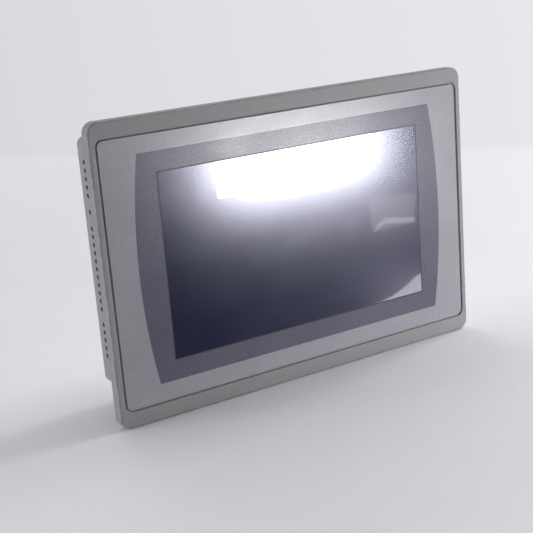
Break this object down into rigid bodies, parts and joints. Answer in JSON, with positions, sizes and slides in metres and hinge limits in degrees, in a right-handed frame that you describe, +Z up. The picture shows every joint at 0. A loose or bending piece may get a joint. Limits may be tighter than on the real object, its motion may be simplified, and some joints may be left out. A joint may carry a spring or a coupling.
{
  "type": "hmi touch panel",
  "caption": "Panel-mount operator terminal: flat grey bezel with a wide touch screen, sealed against a cabinet door, and a deep rear housing with vents, a supply plug and data ports.",
  "frame": {"origin": "centre of the sealing face, the plane where the panel gasket rests on the cabinet door", "axes": "+X to the right seen from the front, +Y from the screen towards the back of the housing, +Z up"},
  "size_m": [0.28, 0.0528, 0.19],
  "materials": {
    "bezel_plastic": "satin moulded grey, finely textured",
    "overlay_print": "printed polyester film, matt grey with a darker band round the screen",
    "touch_glass": "clear sensor glass",
    "screen_black": "dark unlit display, glossy",
    "black_tape": "matt black adhesive",
    "gasket_rubber": "matt black foam rubber",
    "flex_film": "amber polyimide film",
    "white_plastic": "moulded connector plastic",
    "sheet_steel": "zinc plated sheet",
    "screw_steel": "zinc plated, slightly dull",
    "circuit_board": "green solder mask",
    "chip_black": "matt moulding compound",
    "pad_grey": "soft silicone pad",
    "sink_metal": "black anodised extrusion",
    "capacitor_metal": "sleeved can",
    "inductor_core": "pressed ferrite block",
    "terminal_green": "moulded terminal plastic",
    "brass_plated": "plain brass",
    "nickel_shell": "nickel plated shell",
    "black_plastic": "moulded black plastic",
    "clear_plastic": "clear moulded plastic",
    "housing_plastic": "fine textured grey moulding",
    "plate_foil": "blank satin foil plate"
  },
  "bodies": {
    "terminal": {"front_bezel": "bezel_plastic", "front_overlay": "overlay_print", "touch_sensor": "touch_glass", "touch_tape": "black_tape", "touch_tail": "flex_film", "touch_connector": "white_plastic", "display_gasket": "gasket_rubber", "lcd_frame": "sheet_steel", "lcd_glass": "screen_black", "backlight": "white_plastic", "display_bracket": "sheet_steel", "bracket_screws": "screw_steel", "panel_gasket": "gasket_rubber", "board_standoffs": "brass_plated", "main_board": "circuit_board", "board_screws": "screw_steel", "display_connector": "white_plastic", "display_cable": "flex_film", "processor": "chip_black", "thermal_pad": "pad_grey", "heat_sink": "sink_metal", "memory_chips": "chip_black", "supply_capacitors": "capacitor_metal", "supply_inductor": "inductor_core", "supply_header": "terminal_green", "header_pins": "screw_steel", "ethernet_jack": "nickel_shell", "ethernet_contacts": "brass_plated", "usb_host_shells": "nickel_shell", "usb_host_tongues": "white_plastic", "usb_device_shell": "nickel_shell", "usb_device_tongue": "white_plastic", "card_socket": "nickel_shell", "battery_holder": "black_plastic", "battery_clip": "brass_plated", "coin_cell": "nickel_shell", "reset_switch": "black_plastic", "status_leds": "clear_plastic", "light_pipes": "clear_plastic", "ground_insert": "brass_plated", "rear_housing": "housing_plastic", "housing_screws": "screw_steel", "rating_plate": "plate_foil"},
    "supply_plug": {"power_plug": "terminal_green", "plug_contacts": "screw_steel"},
    "screw_1": {"clamp_screw_1": "screw_steel"},
    "screw_2": {"clamp_screw_2": "screw_steel"},
    "screw_3": {"clamp_screw_3": "screw_steel"},
    "cage_1": {"clamp_cage_1": "nickel_shell"},
    "cage_2": {"clamp_cage_2": "nickel_shell"},
    "cage_3": {"clamp_cage_3": "nickel_shell"},
    "button": {"reset_button": "black_plastic"},
    "cover": {"battery_cover": "housing_plastic"},
    "earth_washer": {"ground_washer": "screw_steel"},
    "earth_screw": {"ground_screw": "brass_plated"}
  },
  "joints": [
    {"name": "power_plug_pull", "type": "slide", "parent": "terminal", "child": "supply_plug", "axis": [0, 0, -1], "range_m": [0, 0.012]},
    {"name": "clamp_screw_1_turn", "type": "hinge", "parent": "supply_plug", "child": "screw_1", "pos_m": [-0.09308, 0.02, -0.088], "axis": [0, -1, 0], "range_deg": [0, 1600]},
    {"name": "clamp_cage_1_lift", "type": "slide", "parent": "supply_plug", "child": "cage_1", "axis": [0, 1, 0], "range_m": [0, 0.002]},
    {"name": "clamp_screw_2_turn", "type": "hinge", "parent": "supply_plug", "child": "screw_2", "pos_m": [-0.088, 0.02, -0.088], "axis": [0, -1, 0], "range_deg": [0, 1600]},
    {"name": "clamp_cage_2_lift", "type": "slide", "parent": "supply_plug", "child": "cage_2", "axis": [0, 1, 0], "range_m": [0, 0.002]},
    {"name": "clamp_screw_3_turn", "type": "hinge", "parent": "supply_plug", "child": "screw_3", "pos_m": [-0.08292, 0.02, -0.088], "axis": [0, -1, 0], "range_deg": [0, 1600]},
    {"name": "clamp_cage_3_lift", "type": "slide", "parent": "supply_plug", "child": "cage_3", "axis": [0, 1, 0], "range_m": [0, 0.002]},
    {"name": "reset_button_press", "type": "slide", "parent": "terminal", "child": "button", "axis": [0, 0, 1], "range_m": [0, 0.0008], "stiffness_N_per_m": 500},
    {"name": "battery_cover_swing", "type": "hinge", "parent": "terminal", "child": "cover", "pos_m": [0.06, 0.0429, 0.0367], "axis": [1, 0, 0], "range_deg": [0, 100]},
    {"name": "earth_washer_slide", "type": "slide", "parent": "terminal", "child": "earth_washer", "axis": [0, 0, -1], "range_m": [0, 0.0028]},
    {"name": "earth_screw_turn", "type": "hinge", "parent": "earth_washer", "child": "earth_screw", "pos_m": [-0.108, 0.027, -0.0818], "axis": [0, 0, -1], "range_deg": [0, 1440]}
  ],
  "couplings": [
    {"joint": "clamp_screw_1_turn", "follows": "clamp_cage_1_lift", "rad_per_m": 13962},
    {"joint": "clamp_screw_2_turn", "follows": "clamp_cage_2_lift", "rad_per_m": 13962},
    {"joint": "clamp_screw_3_turn", "follows": "clamp_cage_3_lift", "rad_per_m": 13962},
    {"joint": "earth_screw_turn", "follows": "earth_washer_slide", "rad_per_m": 8975}
  ]
}
